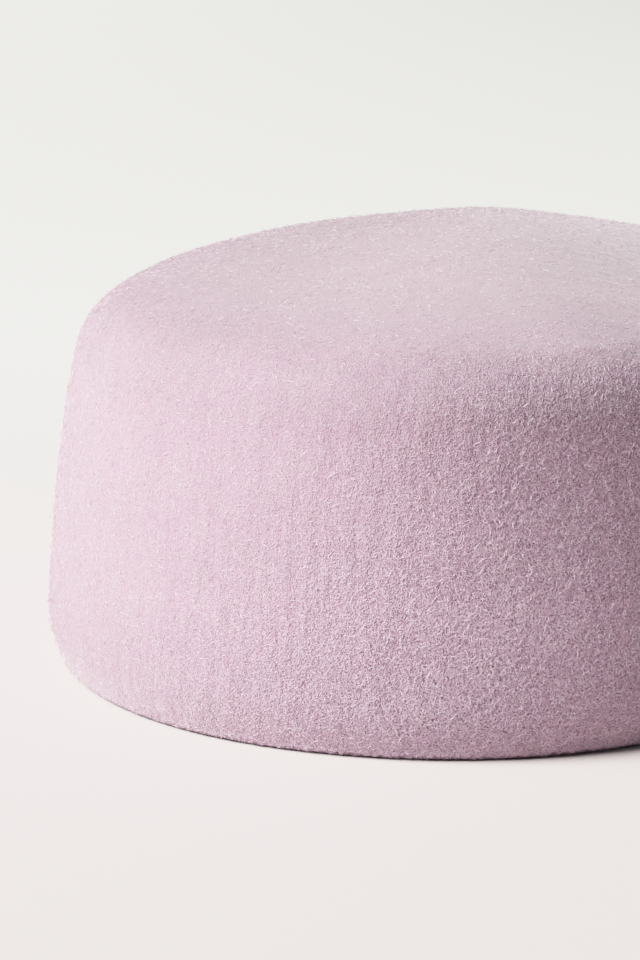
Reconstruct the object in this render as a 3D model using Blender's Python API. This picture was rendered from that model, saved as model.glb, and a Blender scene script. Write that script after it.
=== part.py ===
"""Pillbox hat in blocked wool felt: one hollow shell, open underneath for the head.

Lengths are in metres and Z is up. The lower edge rests on z = 0 and the oval is centred on
the origin, with its long way along Y and the front at -Y.
"""
import math
from collections import namedtuple

import bmesh
import bpy

MM = 0.001

# The oval that the side starts from, and its power: 2 is an ellipse, more is a fuller oval
LENGTH = 201.0 * MM
WIDTH = 171.4 * MM
OVAL_POWER = 2.1

# The whole height, and how far the domed tip rises above the top of the shoulder
HEIGHT = 87.2 * MM
CROWN_RISE = 7.6 * MM

# The side leans in towards the shoulder, and swells out a little on the way
SIDE_LEAN = 7.1 * MM
SIDE_SWELL = 1.1 * MM

# The foot is drawn in over its last few millimetres, where the felt was tied to the block
FOOT_TUCK = 3.4 * MM
FOOT_HEIGHT = 11.3 * MM

# The round between side and tip
SHOULDER_RADIUS = 16.5 * MM

# The felt's thickness, and the round on the two corners of its cut edge
WALL = 2.5 * MM
EDGE_ROUND = 0.6 * MM

# How finely the shell is divided: columns around, then rows up each surface
COLUMNS = 88
SIDE_ROWS = 12
SHOULDER_ROWS = 7
TIP_ROWS = 7
CORNER_ROWS = 3

# The side's rows crowd towards the foot by this power, because the felt curves most there
FOOT_CROWDING = 1.4

# How many times the slope where shoulder and tip meet is worked out, each time closer
TILT_ROUNDS = 12

# Shallow dents in the tip, and rises where the depth is below 0. Places and reaches are
# shares of the half-width across and of the half-length along, depths shares of the tip's rise.
TipDent = namedtuple("TipDent", "across along reach_across reach_along depth")
TIP_DENTS = (
    # The highest place, towards the back, and the slight flats on both sides of it
    TipDent(across=-0.10, along=0.70, reach_across=0.15, reach_along=0.25, depth=-0.14),
    TipDent(across=-0.30, along=0.45, reach_across=0.20, reach_along=0.30, depth=0.05),
    TipDent(across=0.30, along=0.55, reach_across=0.20, reach_along=0.25, depth=0.05),
    # The left of the tip, which lies lower
    TipDent(across=-0.60, along=-0.10, reach_across=0.30, reach_along=0.30, depth=0.10),
    # A narrow hollow left of the middle, and a broad low rise in front of it
    TipDent(across=-0.25, along=0.00, reach_across=0.10, reach_along=0.25, depth=0.08),
    TipDent(across=0.10, along=-0.20, reach_across=0.20, reach_along=0.35, depth=-0.12),
)

# Shallow dents in the side: the place around in turns from the right side towards the back,
# heights as shares of the whole height, depths as shares of the felt's thickness.
SideDent = namedtuple("SideDent", "turn height reach_turn reach_height depth")
SIDE_DENTS = (
    SideDent(turn=0.56, height=0.50, reach_turn=0.050, reach_height=0.20, depth=-0.14),
    SideDent(turn=0.70, height=0.52, reach_turn=0.045, reach_height=0.22, depth=0.18),
    SideDent(turn=0.77, height=0.62, reach_turn=0.045, reach_height=0.20, depth=-0.18),
    SideDent(turn=0.865, height=0.26, reach_turn=0.045, reach_height=0.18, depth=-0.30),
    SideDent(turn=0.875, height=0.72, reach_turn=0.050, reach_height=0.13, depth=0.30),
    SideDent(turn=0.18, height=0.50, reach_turn=0.060, reach_height=0.20, depth=0.20),
)

FELT_COLOUR = (0.63, 0.42, 0.50, 1.0)
FELT_ROUGHNESS = 0.95

SIDE_TOP = HEIGHT - CROWN_RISE - SHOULDER_RADIUS


def oval_radius(angle):
    """The distance from the middle to the oval that the side starts from."""
    across = abs(math.cos(angle)) / (WIDTH / 2)
    along = abs(math.sin(angle)) / (LENGTH / 2)
    return (across ** OVAL_POWER + along ** OVAL_POWER) ** (-1 / OVAL_POWER)


def side_inset(height):
    """How far the side lies inside that oval at this height."""
    up = height / SIDE_TOP
    tuck = FOOT_TUCK * max(0.0, 1 - height / FOOT_HEIGHT) ** 2
    return SIDE_LEAN * up - 4 * SIDE_SWELL * up * (1 - up) + tuck


def side_slope(height):
    """How fast the side goes in as it goes up."""
    up = height / SIDE_TOP
    tuck = -2 * FOOT_TUCK / FOOT_HEIGHT * max(0.0, 1 - height / FOOT_HEIGHT)
    return SIDE_LEAN / SIDE_TOP - 4 * SIDE_SWELL * (1 - 2 * up) / SIDE_TOP + tuck


def side_point(angle, height, depth):
    """A point of the side, this deep in the felt, as its radius and height."""
    thickness = depth * math.hypot(1, side_slope(height))
    return oval_radius(angle) - side_inset(height) - thickness, height


def shoulder_middle(angle):
    """The middle of the shoulder's round, and the angle that it starts from."""
    start = math.atan(side_slope(SIDE_TOP))
    radius = oval_radius(angle) - side_inset(SIDE_TOP) - SHOULDER_RADIUS * math.cos(start)
    return radius, SIDE_TOP - SHOULDER_RADIUS * math.sin(start), start


def tip_tilt(radius, height):
    """The slope angle at which the shoulder's round runs into the domed tip without a crease."""
    tilt = 0.0
    for _ in range(TILT_ROUNDS):
        rise = HEIGHT - height - SHOULDER_RADIUS * math.cos(tilt)
        tilt = math.atan(2 * rise / (radius + SHOULDER_RADIUS * math.sin(tilt)))
    return tilt


def column(angle, depth):
    """One surface's points from the foot to the middle of the tip, this deep in the felt."""
    points = []
    middle, middle_height, start = shoulder_middle(angle)
    top = SIDE_TOP - depth * math.sin(start)
    for row in range(SIDE_ROWS):
        share = (row / SIDE_ROWS) ** FOOT_CROWDING
        points.append(side_point(angle, EDGE_ROUND + (top - EDGE_ROUND) * share, depth))
    tilt = tip_tilt(middle, middle_height)
    round_radius = SHOULDER_RADIUS - depth
    for row in range(SHOULDER_ROWS + 1):
        turn = start + (math.pi / 2 - tilt - start) * row / SHOULDER_ROWS
        points.append((middle + round_radius * math.cos(turn),
                       middle_height + round_radius * math.sin(turn)))
    rim = middle + SHOULDER_RADIUS * math.sin(tilt)
    rise = HEIGHT - middle_height - SHOULDER_RADIUS * math.cos(tilt)
    for row in range(1, TIP_ROWS + 1):
        share = 1 - row / TIP_ROWS
        slope = math.atan(2 * rise * share / rim)
        points.append((rim * share - depth * math.sin(slope),
                       HEIGHT - rise * share ** 2 - depth * math.cos(slope)))
    return points


def corner(foot, side):
    """The rounded corner of the cut edge, from the foot of a surface down to the flat rim."""
    points = []
    for row in range(1, CORNER_ROWS + 1):
        turn = math.pi / 2 * row / CORNER_ROWS
        points.append((foot[0] - side * EDGE_ROUND * (1 - math.cos(turn)),
                       EDGE_ROUND * (1 - math.sin(turn))))
    return points


def hump(offset, reach):
    """A smooth hump: 1 in its middle, under a half at its reach and 0 at twice its reach."""
    share = min(1.0, abs(offset) / (2 * reach))
    return (1 - share ** 2) ** 3


def smooth_step(value):
    """0 below 0 and 1 above 1, with a soft change between."""
    share = min(1.0, max(0.0, value))
    return share * share * (3 - 2 * share)


def tip_drop(x, y, height):
    """How far the tip's dents lower a point."""
    drop = 0.0
    for dent in TIP_DENTS:
        across = hump(x / (WIDTH / 2) - dent.across, dent.reach_across)
        along = hump(y / (LENGTH / 2) - dent.along, dent.reach_along)
        drop += dent.depth * CROWN_RISE * across * along
    return drop * smooth_step((height - SIDE_TOP) / SHOULDER_RADIUS)


def side_drop(angle, height):
    """How far the side's dents move a point inwards."""
    drop = 0.0
    for dent in SIDE_DENTS:
        turn = (angle / math.tau - dent.turn + 0.5) % 1.0 - 0.5
        around = hump(turn, dent.reach_turn)
        upward = hump(height / HEIGHT - dent.height, dent.reach_height)
        drop += dent.depth * WALL * around * upward
    return drop


def place(angle, point):
    """A column's radius and height as a place in space, with the dents."""
    radius = point[0] - side_drop(angle, point[1])
    x = radius * math.cos(angle)
    y = radius * math.sin(angle)
    return x, y, point[1] - tip_drop(x, y, point[1])


def felt_material():
    """Pale lilac felt."""
    material = bpy.data.materials.new("lilac_felt")
    material.use_nodes = True
    shader = material.node_tree.nodes["Principled BSDF"]
    shader.inputs["Base Color"].default_value = FELT_COLOUR
    shader.inputs["Roughness"].default_value = FELT_ROUGHNESS
    shader.inputs["Metallic"].default_value = 0.0
    return material


def felt_crown():
    """The whole hat: outer surface, cut edge and inner surface as one closed skin."""
    mesh = bmesh.new()
    rings = []
    for index in range(COLUMNS):
        angle = math.tau * index / COLUMNS
        outer = column(angle, 0.0)
        inner = column(angle, WALL)
        rim_outer = corner(outer[0], 1)
        rim_inner = corner(inner[0], -1)
        strip = outer[-2::-1] + rim_outer + rim_inner[::-1] + inner[:-1]
        rings.append([mesh.verts.new(place(angle, point)) for point in strip])
    tip_outer = mesh.verts.new(place(0.0, (0.0, HEIGHT)))
    tip_inner = mesh.verts.new(place(0.0, (0.0, HEIGHT - WALL)))
    for index, ring in enumerate(rings):
        following = rings[(index + 1) % COLUMNS]
        mesh.faces.new((tip_outer, ring[0], following[0]))
        for row in range(len(ring) - 1):
            mesh.faces.new((ring[row], ring[row + 1], following[row + 1], following[row]))
        mesh.faces.new((tip_inner, following[-1], ring[-1]))
    bmesh.ops.recalc_face_normals(mesh, faces=mesh.faces)
    data = bpy.data.meshes.new("felt_crown")
    mesh.to_mesh(data)
    mesh.free()
    data.shade_smooth()
    data.materials.append(felt_material())
    crown = bpy.data.objects.new("felt_crown", data)
    bpy.context.scene.collection.objects.link(crown)
    return crown


def main():
    for old in list(bpy.data.objects):
        bpy.data.objects.remove(old, do_unlink=True)
    felt_crown()


main()
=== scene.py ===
"""The looks of the pillbox hat: blocked lilac wool felt on a pale seamless floor.

Lengths are in metres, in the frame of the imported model: Z up, the hat's front at -Y, and its
lower edge on z = 0. Colours are linear red, green and blue.
"""
import math
from collections import namedtuple

import bmesh
import bpy
import numpy as np
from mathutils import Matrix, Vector


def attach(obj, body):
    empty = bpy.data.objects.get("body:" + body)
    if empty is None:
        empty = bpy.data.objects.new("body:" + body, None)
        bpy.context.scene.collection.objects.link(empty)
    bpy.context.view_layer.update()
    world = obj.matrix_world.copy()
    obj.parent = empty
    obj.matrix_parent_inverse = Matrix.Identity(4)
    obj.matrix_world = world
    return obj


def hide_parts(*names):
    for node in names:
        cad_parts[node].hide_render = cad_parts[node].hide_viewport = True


MM = 0.001

# The sizes of the felt shell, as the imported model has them
LENGTH = 201.0 * MM
WIDTH = 171.4 * MM
OVAL_POWER = 2.1
HEIGHT = 87.2 * MM
CROWN_RISE = 7.6 * MM
SIDE_LEAN = 7.1 * MM
SIDE_SWELL = 1.1 * MM
FOOT_TUCK = 3.4 * MM
FOOT_HEIGHT = 11.3 * MM
SHOULDER_RADIUS = 16.5 * MM
WALL = 2.5 * MM
EDGE_ROUND = 0.6 * MM
SIDE_TOP = HEIGHT - CROWN_RISE - SHOULDER_RADIUS

# The felt's shallow dents, and rises where the depth is below 0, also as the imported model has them
TipDent = namedtuple("TipDent", "across along reach_across reach_along depth")
TIP_DENTS = (
    # The highest place, towards the back, and the slight flats on both sides of it
    TipDent(across=-0.10, along=0.70, reach_across=0.15, reach_along=0.25, depth=-0.14),
    TipDent(across=-0.30, along=0.45, reach_across=0.20, reach_along=0.30, depth=0.05),
    TipDent(across=0.30, along=0.55, reach_across=0.20, reach_along=0.25, depth=0.05),
    # The left of the tip, which lies lower
    TipDent(across=-0.60, along=-0.10, reach_across=0.30, reach_along=0.30, depth=0.10),
    # A narrow hollow left of the middle, and a broad low rise in front of it
    TipDent(across=-0.25, along=0.00, reach_across=0.10, reach_along=0.25, depth=0.08),
    TipDent(across=0.10, along=-0.20, reach_across=0.20, reach_along=0.35, depth=-0.12),
)
SideDent = namedtuple("SideDent", "turn height reach_turn reach_height depth")
SIDE_DENTS = (
    SideDent(turn=0.56, height=0.50, reach_turn=0.050, reach_height=0.20, depth=-0.14),
    SideDent(turn=0.70, height=0.52, reach_turn=0.045, reach_height=0.22, depth=0.18),
    SideDent(turn=0.77, height=0.62, reach_turn=0.045, reach_height=0.20, depth=-0.18),
    SideDent(turn=0.865, height=0.26, reach_turn=0.045, reach_height=0.18, depth=-0.30),
    SideDent(turn=0.875, height=0.72, reach_turn=0.050, reach_height=0.13, depth=0.30),
    SideDent(turn=0.18, height=0.50, reach_turn=0.060, reach_height=0.20, depth=0.20),
)

# The outer corner of the cut edge, in shares of the edge's round: the felt stands on the inner
# part of its edge, over a narrow dark gap
FootStep = namedtuple("FootStep", "inset up")
FOOT_GAP = (
    FootStep(inset=0.08, up=0.90),
    FootStep(inset=0.35, up=0.80),
    FootStep(inset=0.80, up=0.76),
    FootStep(inset=1.30, up=0.70),
    FootStep(inset=1.55, up=0.00),
)

# How finely the felt is divided: columns around, rows up each surface and round the cut edge
COLUMNS = 360
OUTER_ROWS = 130
INNER_ROWS = 50
EDGE_ROWS = 5

# How many times the slope where shoulder and tip meet is worked out, each time closer
TILT_ROUNDS = 12

# The camera: where it stands round the hat and how it looks down, as the photo shows it. The
# lens and the sensor are in millimetres.
CAMERA_AZIMUTH = math.radians(13.05)
CAMERA_ELEVATION = math.radians(15.68)
CAMERA_DISTANCE = 696.6 * MM
CAMERA_PITCH = math.radians(13.16)
CAMERA_YAW = math.radians(2.52)
LENS = 120.0
SENSOR = 36.0

# The loose fibres of the nap: their length and width, how far they lift off the felt in their
# middle, and how deep their ends lie in it
FIBRE_LENGTH = 1.0 * MM
FIBRE_WIDTH = 0.06 * MM
FIBRE_LIFT = 0.13 * MM
FIBRE_ROOT = 0.03 * MM

# How much the fibres differ. The length's spread is of its logarithm, the bend is a share of the
# length, the lean shifts the highest place to one end, and the roll is in radians. Widths are
# even between two shares of the usual one, and lifts follow a gamma spread.
LENGTH_SPREAD = 0.35
BEND_SPREAD = 0.35
LEAN_SPREAD = 0.5
ROLL_SPREAD = 0.9
NARROWEST = 0.6
WIDEST = 1.3
LIFT_SHAPE = 1.5
LIFT_SCALE = 0.8

# A fibre is a ribbon of four triangles: two ends, and two corners at each of two places between
RIBBON_PLACES = (0.33, 0.67)
RIBBON_CORNERS = 6
RIBBON_TRIANGLES = ((0, 2, 1), (1, 2, 4), (1, 4, 3), (3, 4, 5))

# How many fibres each kind has. More stand at the foot, and fewer where the nap is calm.
FIBRES_EACH = 41000
FOOT_FRINGE = 3.0
CALM_THINNING = 1.5
FLOOR_CLEARANCE = 0.02 * MM
FibreKind = namedtuple("FibreKind", "name colour seed")
FIBRE_KINDS = (
    FibreKind("fibres_pale", (0.89, 0.73, 0.83), 11),
    FibreKind("fibres_rose", (0.82, 0.57, 0.69), 12),
    FibreKind("fibres_lilac", (0.76, 0.55, 0.70), 13),
    FibreKind("fibres_grey", (0.76, 0.58, 0.69), 14),
    FibreKind("fibres_deep", (0.57, 0.36, 0.48), 15),
)

# Patches of painted light, or of painted shade where the gain is below 0: the middle of each patch,
# and the reach at which it is under half as strong
PaintedLightPatch = namedtuple("PaintedLightPatch", "x y z reach gain")
PAINTED_LIGHT_PATCHES = (
    PaintedLightPatch(x=4 * MM, y=-52 * MM, z=83 * MM, reach=26 * MM, gain=0.15),
    PaintedLightPatch(x=2 * MM, y=-8 * MM, z=86 * MM, reach=26 * MM, gain=0.10),
    PaintedLightPatch(x=-22 * MM, y=6 * MM, z=85 * MM, reach=12 * MM, gain=-0.10),
    PaintedLightPatch(x=42 * MM, y=-16 * MM, z=83 * MM, reach=27 * MM, gain=-0.17),
    PaintedLightPatch(x=44 * MM, y=-58 * MM, z=77 * MM, reach=11 * MM, gain=-0.20),
    PaintedLightPatch(x=-38 * MM, y=-76 * MM, z=72 * MM, reach=12 * MM, gain=-0.07),
    PaintedLightPatch(x=28 * MM, y=-86 * MM, z=67 * MM, reach=20 * MM, gain=-0.15),
    PaintedLightPatch(x=-15 * MM, y=-93 * MM, z=57 * MM, reach=14 * MM, gain=0.05),
    PaintedLightPatch(x=48 * MM, y=-86 * MM, z=12 * MM, reach=18 * MM, gain=0.08),
)

# The nap lies calmer on the tip and round the left side, where the tangle shows less
TIP_CALM = 0.75
SIDE_CALM = 0.68
SIDE_CALM_FROM = 16.0 * MM
SIDE_CALM_OVER = 90.0 * MM
SIDE_CALM_RISE = 0.9

# Between these two values lies most of what a noise gives
NOISE_LOW = 0.3
NOISE_HIGH = 0.7

# One stop of a colour ramp
Stop = namedtuple("Stop", "position colour")

# Painted shade by height, as shares of the whole height: a painted shadow line at the foot, a little
# painted shade above it, and painted shade that makes the felt darker and greyer from the shoulder
# on, for the way the light falls on the tip
PAINTED_SHADE_BY_HEIGHT = (
    Stop(0.006, (0.27, 0.19, 0.25)),
    Stop(0.010, (0.96, 0.94, 0.96)),
    Stop(0.120, (0.91, 0.89, 0.91)),
    Stop(0.330, (1.00, 0.98, 1.00)),
    Stop(0.670, (1.00, 0.98, 1.00)),
    Stop(0.790, (0.90, 0.91, 0.91)),
    Stop(0.870, (0.85, 0.85, 0.85)),
    Stop(0.940, (0.80, 0.87, 0.815)),
)

# The painted shadow line at the foot ends raggedly: how far it strays, and its grains to a metre
FOOT_RAGGED = 0.45 * MM
FOOT_RAGGED_SCALE = 900.0

# The tones of the tangled fibres, partly their own colour and partly painted: from painted shade in
# the dark pits between them to painted glints on top, and the tone that they blend into where the
# nap is calm
TANGLE_TONES = (
    Stop(0.32, (0.15, 0.08, 0.12)),
    Stop(0.43, (0.427, 0.280, 0.353)),
    Stop(0.59, (0.495, 0.334, 0.412)),
    Stop(0.70, (0.730, 0.580, 0.660)),
)
CALM_TONE = (0.372, 0.236, 0.290)

# The relief of the felt: the fine tangle, and longer ripples that are drawn out upwards. A scale
# is how many grains of noise there are to a metre.
TANGLE_SCALE = 3000.0
TANGLE_RELIEF = 0.7 * MM
RIPPLE_SCALE = 330.0
RIPPLE_RELIEF = 1.1 * MM
RIPPLE_DRAWN = (1.0, 1.0, 0.15)

# The felt's faint mottling: blotches in its shade, and smaller ones in its hue, with several
# sizes of grain in each
SHADE_SCALE = 110.0
SHADE_TINTS = (Stop(NOISE_LOW, (0.92, 0.90, 0.92)), Stop(NOISE_HIGH, (1.0, 1.0, 1.0)))
HUE_SCALE = 300.0
HUE_TINTS = (Stop(NOISE_LOW, (1.0, 0.93, 0.97)), Stop(NOISE_HIGH, (0.95, 0.98, 0.96)))
MOTTLE_DETAIL = 3.0
MOTTLE_ROUGHNESS = 0.6
FELT_SHEEN = (1.0, 0.92, 0.96)

# The floor reaches far past the picture on all sides. Near the camera it is painted pinker, with
# bounce light from the hat, and darker, with painted shade against the softbox's stronger light
# there; it turns from one tint to the other between two places along Y.
FLOOR_HALF = 8.0
FLOOR_NEAR = (0.590, 0.524, 0.511)
FLOOR_FAR = (0.705, 0.695, 0.655)
FLOOR_TURNS = (-0.05, 0.30)

# Far behind, the floor falls into a light shade towards the right of the picture. The ranges
# are where the shade sets in and where it is full, to the right and away from the camera.
FLOOR_SHADE = (0.80, 0.81, 0.82)
SHADE_WAY = math.radians(15.6)
SHADE_ASIDE = (-0.25, 0.20)
SHADE_AWAY = (0.0, 1.6)

# The light: a broad key from the left, a softbox near the hat on the same side, and a pale room.
# Its angles are in degrees: how far round to the right of the camera it stands, how high above
# the floor, and how wide it looks from the hat.
KEY_TURN = -72.0
KEY_ELEVATION = 39.0
KEY_COLOUR = (1.0, 0.99, 0.97)
KEY_STRENGTH = 12.8
KEY_SPREAD = 30.0
SOFTBOX_DISTANCE = 0.6
SOFTBOX_SIZE = 0.35
SOFTBOX_POWER = 2.6
ROOM_COLOUR = (0.86, 0.98, 1.02)
ROOM_STRENGTH = 0.16

# The lights at which the tone curve has its points, and the light that it ends at
TONE_LIGHTS = (0.25, 0.5, 1.0, 1.5, 2.0, 3.0)
BRIGHTEST = 4.0

# The sockets of a Mix node that mixes colours
MIX_SHARE = 0
MIX_FIRST = 6
MIX_SECOND = 7
MIX_RESULT = 2


def oval_radius(angle):
    """The distance from the middle to the oval that the side starts from."""
    across = np.abs(np.cos(angle)) / (WIDTH / 2)
    along = np.abs(np.sin(angle)) / (LENGTH / 2)
    return (across ** OVAL_POWER + along ** OVAL_POWER) ** (-1 / OVAL_POWER)


def side_inset(height):
    """How far the side lies inside that oval at this height."""
    up = height / SIDE_TOP
    tuck = FOOT_TUCK * np.maximum(0.0, 1 - height / FOOT_HEIGHT) ** 2
    return SIDE_LEAN * up - 4 * SIDE_SWELL * up * (1 - up) + tuck


def side_slope(height):
    """How fast the side goes in as it goes up."""
    up = height / SIDE_TOP
    tuck = -2 * FOOT_TUCK / FOOT_HEIGHT * np.maximum(0.0, 1 - height / FOOT_HEIGHT)
    return SIDE_LEAN / SIDE_TOP - 4 * SIDE_SWELL * (1 - 2 * up) / SIDE_TOP + tuck


def profile(angle, way, depth):
    """Radius and height on the surface this deep in the felt, at a way of 0 at the foot to 1 at
    the middle of the tip. angle and way are arrays of one shape."""
    start = np.arctan(side_slope(SIDE_TOP))
    middle = oval_radius(angle) - side_inset(SIDE_TOP) - SHOULDER_RADIUS * np.cos(start)
    middle_height = SIDE_TOP - SHOULDER_RADIUS * np.sin(start)
    tilt = np.zeros_like(middle)
    for _ in range(TILT_ROUNDS):
        rise = HEIGHT - middle_height - SHOULDER_RADIUS * np.cos(tilt)
        tilt = np.arctan(2 * rise / (middle + SHOULDER_RADIUS * np.sin(tilt)))
    rim = middle + SHOULDER_RADIUS * np.sin(tilt)
    rise = HEIGHT - middle_height - SHOULDER_RADIUS * np.cos(tilt)
    round_length = SHOULDER_RADIUS * (np.pi / 2 - tilt - start)
    along = way * (SIDE_TOP + round_length + rim)
    side_share = np.clip(along / SIDE_TOP, 0, 1)
    round_share = np.clip((along - SIDE_TOP) / round_length, 0, 1)
    tip_share = 1 - np.clip((along - SIDE_TOP - round_length) / rim, 0, 1)
    top = SIDE_TOP - depth * np.sin(start)
    height = EDGE_ROUND + (top - EDGE_ROUND) * side_share
    radius = oval_radius(angle) - side_inset(height) - depth * np.hypot(1, side_slope(height))
    turn = start + (np.pi / 2 - tilt - start) * round_share
    on_round = side_share >= 1
    radius = np.where(on_round, middle + (SHOULDER_RADIUS - depth) * np.cos(turn), radius)
    height = np.where(on_round, middle_height + (SHOULDER_RADIUS - depth) * np.sin(turn), height)
    slope = np.arctan(2 * rise * tip_share / rim)
    on_tip = round_share >= 1
    radius = np.where(on_tip, rim * tip_share - depth * np.sin(slope), radius)
    height = np.where(on_tip, HEIGHT - rise * tip_share ** 2 - depth * np.cos(slope), height)
    return radius, height


def hump(offset, reach):
    """A smooth hump: 1 in its middle, under a half at its reach and 0 at twice its reach."""
    share = np.minimum(1.0, np.abs(offset) / (2 * reach))
    return (1 - share ** 2) ** 3


def smooth_step(value):
    """0 below 0 and 1 above 1, with a soft change between."""
    share = np.clip(value, 0.0, 1.0)
    return share * share * (3 - 2 * share)


def side_drop(angle, height):
    """How far the side's dents move a point inwards."""
    drop = np.zeros_like(height)
    for dent in SIDE_DENTS:
        turn = (angle / math.tau - dent.turn + 0.5) % 1.0 - 0.5
        upward = hump(height / HEIGHT - dent.height, dent.reach_height)
        drop += dent.depth * WALL * hump(turn, dent.reach_turn) * upward
    return drop


def tip_drop(x, y, height):
    """How far the tip's dents lower a point."""
    drop = np.zeros_like(height)
    for dent in TIP_DENTS:
        across = hump(x / (WIDTH / 2) - dent.across, dent.reach_across)
        along = hump(y / (LENGTH / 2) - dent.along, dent.reach_along)
        drop += dent.depth * CROWN_RISE * across * along
    return drop * smooth_step((height - SIDE_TOP) / SHOULDER_RADIUS)


def place(angle, radius, height):
    """Radius and height as a place in space, with the felt's shallow dents."""
    radius = radius - side_drop(angle, height)
    x = radius * np.cos(angle)
    y = radius * np.sin(angle)
    return np.stack([x, y, height - tip_drop(x, y, height)], -1)


def surface_ring(angle, share, depth):
    """The ring this deep in the felt, at this share of the way from foot to tip's middle."""
    return place(angle, *profile(angle, np.full(len(angle), share), depth))


def level_ring(angle, radius, height):
    """A ring of the cut edge, at one height."""
    return place(angle, radius, np.full(len(angle), height))


def calmness(x, z):
    """How much of the felt's tangle is smoothed away at a place."""
    on_tip = TIP_CALM * smooth_step((z - SIDE_TOP) / SHOULDER_RADIUS)
    leftward = SIDE_CALM_FROM - x + SIDE_CALM_RISE * z
    on_side = SIDE_CALM * smooth_step(leftward / SIDE_CALM_OVER)
    return np.maximum(on_tip, on_side)


def grid_faces(rows, columns):
    """The quads of a grid whose columns close into a ring."""
    row, column = np.meshgrid(np.arange(rows - 1), np.arange(columns), indexing="ij")
    following = (column + 1) % columns
    quads = np.stack([row * columns + column, row * columns + following,
                      (row + 1) * columns + following, (row + 1) * columns + column], -1)
    return quads.reshape(-1, 4)


def new_mesh(name, places, faces):
    """A smooth-shaded mesh object from arrays of places and of faces of one size."""
    mesh = bpy.data.meshes.new(name)
    mesh.vertices.add(len(places))
    mesh.vertices.foreach_set("co", places.astype(np.float32).ravel())
    sides = faces.shape[1]
    mesh.loops.add(faces.size)
    mesh.loops.foreach_set("vertex_index", faces.astype(np.int32).ravel())
    mesh.polygons.add(len(faces))
    mesh.polygons.foreach_set("loop_start", np.arange(0, faces.size, sides, dtype=np.int32))
    mesh.update(calc_edges=True)
    mesh.shade_smooth()
    piece = bpy.data.objects.new(name, mesh)
    bpy.context.scene.collection.objects.link(piece)
    return piece


def keep_painted_light_and_calm(piece):
    """Keep at each point of a mesh the painted light and shade that the patches give there, and how
    calm the nap is there.
    """
    mesh = piece.data
    places = np.empty(len(mesh.vertices) * 3, dtype=np.float32)
    mesh.vertices.foreach_get("co", places)
    x, y, z = places.reshape(-1, 3).T
    light = np.ones_like(x)
    for patch in PAINTED_LIGHT_PATCHES:
        away = np.sqrt((x - patch.x) ** 2 + (y - patch.y) ** 2 + (z - patch.z) ** 2)
        light += patch.gain * hump(away, patch.reach)
    # The patches' painted light and shade is kept under the name 'nap'
    for name, values in (("nap", light), ("calm", calmness(x, z))):
        attribute = mesh.attributes.new(name, "FLOAT", "POINT")
        attribute.data.foreach_set("value", values.astype(np.float32))


def shell_rings():
    """Every ring of the shell, from the middle of the tip, down the outside, round the cut edge
    and up the inside to the middle of the tip again."""
    angle = np.arange(COLUMNS) * math.tau / COLUMNS
    rings = [surface_ring(angle, row / OUTER_ROWS, 0.0) for row in range(OUTER_ROWS - 1, -1, -1)]
    foot = np.zeros(COLUMNS)
    outer = profile(angle, foot, 0.0)[0]
    inner = profile(angle, foot, WALL)[0]
    for step in FOOT_GAP:
        rings.append(level_ring(angle, outer - step.inset * EDGE_ROUND, step.up * EDGE_ROUND))
    for row in range(EDGE_ROWS, 0, -1):
        turn = math.pi / 2 * row / EDGE_ROWS
        radius = inner + EDGE_ROUND * (1 - math.cos(turn))
        rings.append(level_ring(angle, radius, EDGE_ROUND * (1 - math.sin(turn))))
    rings += [surface_ring(angle, row / INNER_ROWS, WALL) for row in range(INNER_ROWS)]
    return np.array(rings)


def felt_shell():
    """The felt itself, as one closed skin."""
    rings = shell_rings()
    faces = grid_faces(len(rings), COLUMNS)
    piece = new_mesh("felt_shell", rings.reshape(-1, 3), faces[:, ::-1])
    mesh = piece.data
    work = bmesh.new()
    work.from_mesh(mesh)
    corners = list(work.verts)
    for first in (0, (len(rings) - 1) * COLUMNS):
        ring = corners[first:first + COLUMNS]
        middle = work.verts.new(sum((corner.co for corner in ring), Vector()) / COLUMNS)
        for column in range(COLUMNS):
            face = work.faces.new((middle, ring[column], ring[(column + 1) % COLUMNS]))
            face.smooth = True
    bmesh.ops.recalc_face_normals(work, faces=work.faces)
    work.to_mesh(mesh)
    work.free()
    mesh.materials.append(felt_material())
    return piece


def outer_grid():
    """Places and outward normals on the felt's outer surface, as rows of rings from the foot up,
    with the share of all the fibres that each cell of the grid holds."""
    angle = np.arange(COLUMNS + 1) * math.tau / COLUMNS
    places = np.array([surface_ring(angle, row / OUTER_ROWS, 0.0) for row in range(OUTER_ROWS)])
    around = np.gradient(places, axis=1)
    around[:, 0] = around[:, -1] = (places[:, 1] - places[:, -2]) / 2
    upward = np.gradient(places, axis=0)
    normals = np.cross(around, upward)
    areas = np.linalg.norm(normals, axis=-1)
    normals = normals / areas[..., None]
    cells = areas[:-1, :-1] + areas[1:, 1:]
    rough = 1 - calmness(places[:-1, :-1, 0], places[:-1, :-1, 2])
    cells = cells * rough ** CALM_THINNING
    cells[0] *= FOOT_FRINGE
    return places, normals, cells / cells.sum()


def between(grid, row, column, up, across):
    """A grid's values inside its cells."""
    low = grid[row, column] * (1 - across) + grid[row, column + 1] * across
    high = grid[row + 1, column] * (1 - across) + grid[row + 1, column + 1] * across
    return low * (1 - up) + high * up


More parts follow.
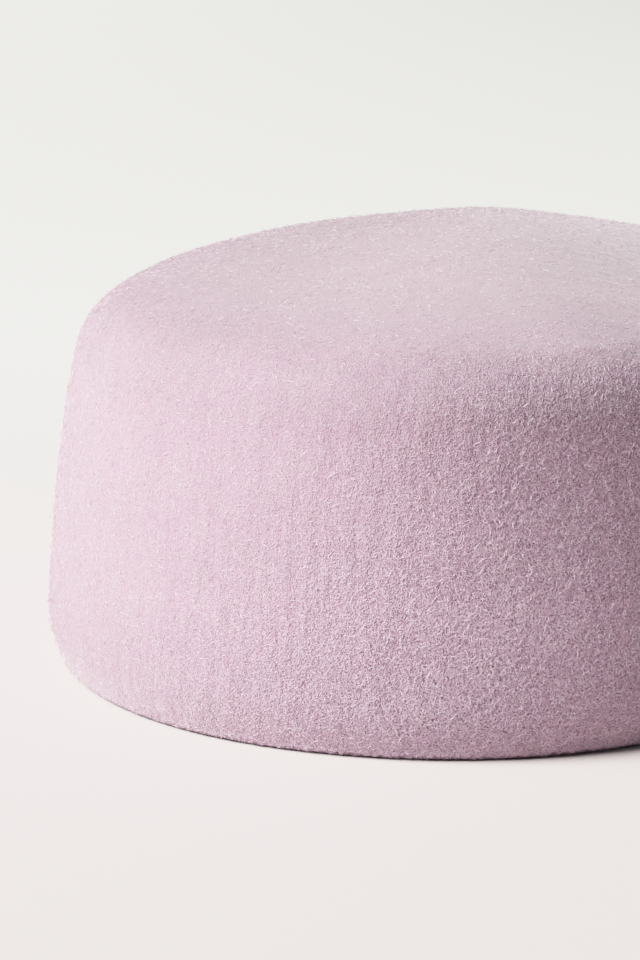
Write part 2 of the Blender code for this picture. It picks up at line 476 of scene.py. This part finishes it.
def ribbons(grid, random):
    """The corners of one kind's fibres, six to each, which lie in a tangle on the felt."""
    places, normals, share = grid
    count = FIBRES_EACH
    cell = random.choice(share.size, count, p=share.ravel())
    row, column = np.divmod(cell, share.shape[1])
    up = random.random((count, 1))
    across = random.random((count, 1))
    middle = between(places, row, column, up, across)
    out = between(normals, row, column, up, across)
    out /= np.linalg.norm(out, axis=1, keepdims=True)
    loose = random.normal(size=(count, 3))
    ahead = loose - out * (loose * out).sum(1, keepdims=True)
    ahead /= np.linalg.norm(ahead, axis=1, keepdims=True)
    aside = np.cross(out, ahead)
    length = FIBRE_LENGTH * np.exp(random.normal(0, LENGTH_SPREAD, (count, 1)))
    bend = random.normal(0, BEND_SPREAD, (count, 1))
    lift = FIBRE_LIFT * random.gamma(LIFT_SHAPE, LIFT_SCALE, (count, 1))
    lean = random.normal(0, LEAN_SPREAD, (count, 1))
    width = FIBRE_WIDTH * random.uniform(NARROWEST, WIDEST, (count, 1))
    roll = random.normal(0, ROLL_SPREAD, (count, 1))
    flat = aside * np.cos(roll) + out * np.sin(roll)

    def centre(part):
        arch = 1 - (2 * part - 1) ** 2
        rise = lift * arch * (1 + lean * (part - 0.5)) - FIBRE_ROOT * (1 - arch)
        bow = bend * length * (part - 0.5) ** 2
        return middle + ahead * length * (part - 0.5) + aside * bow + out * rise

    corners = [centre(0.0)]
    for part in RIBBON_PLACES:
        corners += [centre(part) - flat * width / 2, centre(part) + flat * width / 2]
    corners = np.stack(corners + [centre(1.0)], 1)
    corners[..., 2] = np.maximum(corners[..., 2], FLOOR_CLEARANCE)
    return corners


def fibres(kind, grid):
    """Many short wool fibres of one colour, as one mesh of thin ribbons."""
    corners = ribbons(grid, np.random.default_rng(kind.seed))
    first = np.arange(FIBRES_EACH)[:, None, None] * RIBBON_CORNERS
    faces = first + np.array(RIBBON_TRIANGLES)
    piece = new_mesh(kind.name, corners.reshape(-1, 3), faces.reshape(-1, 3))
    piece.data.materials.append(fibre_material(kind))
    return piece


def feed(tree, socket, value):
    """Link another node's output to a socket, or give the socket a value or a colour."""
    if isinstance(value, bpy.types.NodeSocket):
        tree.links.new(value, socket)
    elif socket.type == "RGBA":
        socket.default_value = (*value, 1.0)
    else:
        socket.default_value = value


def node(tree, kind, inputs, **settings):
    """A shader node, with its settings, and with outputs or values for its inputs."""
    made = tree.nodes.new(kind)
    for name, value in settings.items():
        setattr(made, name, value)
    for name, value in inputs.items():
        feed(tree, made.inputs[name], value)
    return made


def here(tree):
    """The place on the piece, in metres."""
    return node(tree, "ShaderNodeTexCoord", {}).outputs["Object"]


def noise(tree, where, scale, detail, roughness=0.5):
    """Smooth noise, with this many grains to a metre."""
    inputs = {"Vector": where, "Scale": scale, "Detail": detail, "Roughness": roughness}
    return node(tree, "ShaderNodeTexNoise", inputs).outputs["Fac"]


def stretched(tree, value, low, high, start=0.0, end=1.0):
    """A value's range from low to high stretched to one from start to end, and held there."""
    inputs = {"Value": value, "From Min": low, "From Max": high, "To Min": start, "To Max": end}
    return node(tree, "ShaderNodeMapRange", inputs).outputs["Result"]


def maths(tree, operation, first, second):
    """Two numbers added, subtracted or multiplied."""
    return node(tree, "ShaderNodeMath", {0: first, 1: second}, operation=operation).outputs["Value"]


def ramp(tree, value, stops, interpolation="LINEAR"):
    """A colour from a table of stops."""
    made = node(tree, "ShaderNodeValToRGB", {"Fac": value})
    made.color_ramp.interpolation = interpolation
    elements = made.color_ramp.elements
    for stop in stops[1:-1]:
        elements.new(stop.position)
    for element, stop in zip(elements, stops):
        element.position = stop.position
        element.color = (*stop.colour, 1.0)
    return made.outputs["Color"]


def mixed(tree, share, first, second, blend="MIX"):
    """Two colours mixed."""
    inputs = {MIX_SHARE: share, MIX_FIRST: first, MIX_SECOND: second}
    made = node(tree, "ShaderNodeMix", inputs, data_type="RGBA", blend_type=blend)
    return made.outputs[MIX_RESULT]


def times(tree, *colours):
    """Colours multiplied together."""
    product = colours[0]
    for colour in colours[1:]:
        product = mixed(tree, 1.0, product, colour, blend="MULTIPLY")
    return product


def kept(tree, name):
    """What keep_painted_light_and_calm has kept on the mesh under this name."""
    return node(tree, "ShaderNodeAttribute", {}, attribute_name=name)


def mottling(tree, where, scale, stops):
    """Soft blotches that change between the tints of a short table."""
    return ramp(tree, noise(tree, where, scale, MOTTLE_DETAIL, MOTTLE_ROUGHNESS), stops)


def painted_height_shade(tree, where):
    """Painted shade by height, from the foot to the tip. The painted shadow line at the foot ends
    raggedly.
    """
    height = node(tree, "ShaderNodeSeparateXYZ", {"Vector": where}).outputs["Z"]
    ragged = noise(tree, where, FOOT_RAGGED_SCALE, detail=2.0)
    shift = stretched(tree, ragged, NOISE_LOW, NOISE_HIGH, -FOOT_RAGGED, FOOT_RAGGED)
    share = stretched(tree, maths(tree, "ADD", height, shift), 0.0, HEIGHT)
    return ramp(tree, share, PAINTED_SHADE_BY_HEIGHT, "EASE")


def new_material(name, roughness, specular, sheen=0.0):
    """A matt material, with its node tree and its shader."""
    material = bpy.data.materials.new(name)
    material.use_nodes = True
    shader = material.node_tree.nodes["Principled BSDF"]
    shader.inputs["Roughness"].default_value = roughness
    shader.inputs["Specular IOR Level"].default_value = specular
    shader.inputs["Sheen Weight"].default_value = sheen
    shader.inputs["Sheen Roughness"].default_value = 0.5
    return material, material.node_tree, shader


def fibre_material(kind):
    """Loose wool of one colour."""
    material, tree, shader = new_material(kind.name, roughness=0.8, specular=0.25, sheen=0.4)
    # The fibres get the same painted shade by height, and the patches' painted light and shade, kept
    # as 'nap'
    tint = painted_height_shade(tree, here(tree))
    colour = times(tree, kind.colour, tint, kept(tree, "nap").outputs["Color"])
    feed(tree, shader.inputs["Base Color"], colour)
    return material


def felt_material():
    """Lilac wool felt: soft matt, mottled, with a fine tangle of fibres."""
    material, tree, shader = new_material("lilac_felt_surface", roughness=0.95, specular=0.1,
                                          sheen=0.4)
    feed(tree, shader.inputs["Sheen Tint"], FELT_SHEEN)
    where = here(tree)
    calm = kept(tree, "calm").outputs["Fac"]
    tangle = noise(tree, where, TANGLE_SCALE, detail=1.0)
    # The tangle's tones paint shade into the pits between fibres and glints on top
    ground = mixed(tree, calm, ramp(tree, tangle, TANGLE_TONES), CALM_TONE)
    shade = mottling(tree, where, SHADE_SCALE, SHADE_TINTS)
    hue = mottling(tree, where, HUE_SCALE, HUE_TINTS)
    # Painted shade by height, with its painted shadow line at the foot, and the patches' painted
    # light and shade, kept as 'nap', go into the felt's colour
    colour = times(tree, ground, shade, hue, painted_height_shade(tree, where),
                   kept(tree, "nap").outputs["Color"])
    feed(tree, shader.inputs["Base Color"], colour)
    drawn = node(tree, "ShaderNodeMapping", {"Vector": where, "Scale": RIPPLE_DRAWN})
    ripples = noise(tree, drawn.outputs["Vector"], RIPPLE_SCALE, detail=2.0)
    rough = maths(tree, "SUBTRACT", 1.0, calm)
    waves = node(tree, "ShaderNodeBump",
                 {"Strength": rough, "Distance": RIPPLE_RELIEF, "Height": ripples})
    relief = node(tree, "ShaderNodeBump",
                  {"Strength": rough, "Distance": TANGLE_RELIEF, "Height": tangle,
                   "Normal": waves.outputs["Normal"]})
    feed(tree, shader.inputs["Normal"], relief.outputs["Normal"])
    return material


def floor_material():
    """Pale and matt, with painted pink bounce light and painted shade near the camera that fade
    softly to the far tint, and a painted light shade far behind on the right.
    """
    material, tree, shader = new_material("pale_floor", roughness=0.9, specular=0.1)
    where = here(tree)
    away = node(tree, "ShaderNodeSeparateXYZ", {"Vector": where}).outputs["Y"]
    # Near the camera the floor is painted pinker with bounce light from the hat, and darker with
    # painted shade against the softbox's light
    tint = mixed(tree, stretched(tree, away, *FLOOR_TURNS), FLOOR_NEAR, FLOOR_FAR)
    rightward = (math.cos(SHADE_WAY), math.sin(SHADE_WAY), 0.0)
    aside = node(tree, "ShaderNodeVectorMath", {0: where, 1: rightward}, operation="DOT_PRODUCT")
    shaded = maths(tree, "MULTIPLY", stretched(tree, aside.outputs["Value"], *SHADE_ASIDE),
                   stretched(tree, away, *SHADE_AWAY))
    feed(tree, shader.inputs["Base Color"], mixed(tree, shaded, tint, FLOOR_SHADE, "MULTIPLY"))
    return material


def floor():
    """The pale seamless surface that the hat stands on."""
    corners = FLOOR_HALF * np.array([[-1, -1, 0], [1, -1, 0], [1, 1, 0], [-1, 1, 0]])
    piece = new_mesh("floor", corners, np.array([[0, 1, 2, 3]]))
    piece.data.materials.append(floor_material())


def lamp(name, kind, strength):
    """A light that shines at the hat from the key light's side."""
    data = bpy.data.lights.new(name, kind)
    data.energy = strength
    data.color = KEY_COLOUR
    made = bpy.data.objects.new(name, data)
    azimuth = CAMERA_AZIMUTH + math.radians(KEY_TURN)
    made.rotation_euler = (math.radians(90 - KEY_ELEVATION), 0.0, azimuth)
    bpy.context.scene.collection.objects.link(made)
    return made


def lights():
    """A large soft key light from the left, a softbox near the hat and an even pale room."""
    key = lamp("key_light", "SUN", KEY_STRENGTH)
    key.data.angle = math.radians(KEY_SPREAD)
    softbox = lamp("near_softbox", "AREA", SOFTBOX_POWER)
    softbox.data.size = SOFTBOX_SIZE
    azimuth = softbox.rotation_euler.z
    elevation = math.radians(KEY_ELEVATION)
    flat = SOFTBOX_DISTANCE * math.cos(elevation)
    softbox.location = (flat * math.sin(azimuth), -flat * math.cos(azimuth),
                        HEIGHT / 2 + SOFTBOX_DISTANCE * math.sin(elevation))
    world = bpy.data.worlds.new("pale_room")
    world.use_nodes = True
    background = world.node_tree.nodes["Background"]
    background.inputs["Color"].default_value = (*ROOM_COLOUR, 1.0)
    background.inputs["Strength"].default_value = ROOM_STRENGTH
    bpy.context.scene.world = world


def camera():
    """The camera, at the photo's viewing angle."""
    data = bpy.data.cameras.new("camera")
    data.lens = LENS
    data.sensor_width = SENSOR
    made = bpy.data.objects.new("camera", data)
    flat = CAMERA_DISTANCE * math.cos(CAMERA_ELEVATION)
    made.location = (flat * math.sin(CAMERA_AZIMUTH), -flat * math.cos(CAMERA_AZIMUTH),
                     CAMERA_DISTANCE * math.sin(CAMERA_ELEVATION))
    made.rotation_euler = (math.pi / 2 - CAMERA_PITCH, 0.0, CAMERA_AZIMUTH + CAMERA_YAW)
    bpy.context.scene.collection.objects.link(made)
    bpy.context.scene.camera = made


def tone():
    """A soft shoulder in the bright tones, as in the photo: light L shows as 1 - exp(-L)."""
    settings = bpy.context.scene.view_settings
    settings.view_transform = "Standard"
    settings.use_curve_mapping = True
    mapping = settings.curve_mapping
    mapping.white_level = (BRIGHTEST,) * 3
    curve = mapping.curves[3]
    curve.points[0].location = (0.0, 0.0)
    curve.points[1].location = (1.0, 1 - math.exp(-BRIGHTEST))
    for light in TONE_LIGHTS:
        curve.points.new(light / BRIGHTEST, 1 - math.exp(-light))
    mapping.update()


def dress():
    """Every visible piece of the hat."""
    shell = felt_shell()
    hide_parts("felt_crown")
    grid = outer_grid()
    nap = [fibres(kind, grid) for kind in FIBRE_KINDS]
    for piece in [shell] + nap:
        keep_painted_light_and_calm(piece)
        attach(piece, "root")


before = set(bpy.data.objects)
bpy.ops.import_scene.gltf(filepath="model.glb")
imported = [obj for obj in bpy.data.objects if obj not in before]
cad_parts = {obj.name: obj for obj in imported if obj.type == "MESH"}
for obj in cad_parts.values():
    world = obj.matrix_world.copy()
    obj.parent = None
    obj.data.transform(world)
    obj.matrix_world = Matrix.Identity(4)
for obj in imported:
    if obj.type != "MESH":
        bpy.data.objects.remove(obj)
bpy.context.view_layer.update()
tone()
camera()
lights()
floor()
dress()
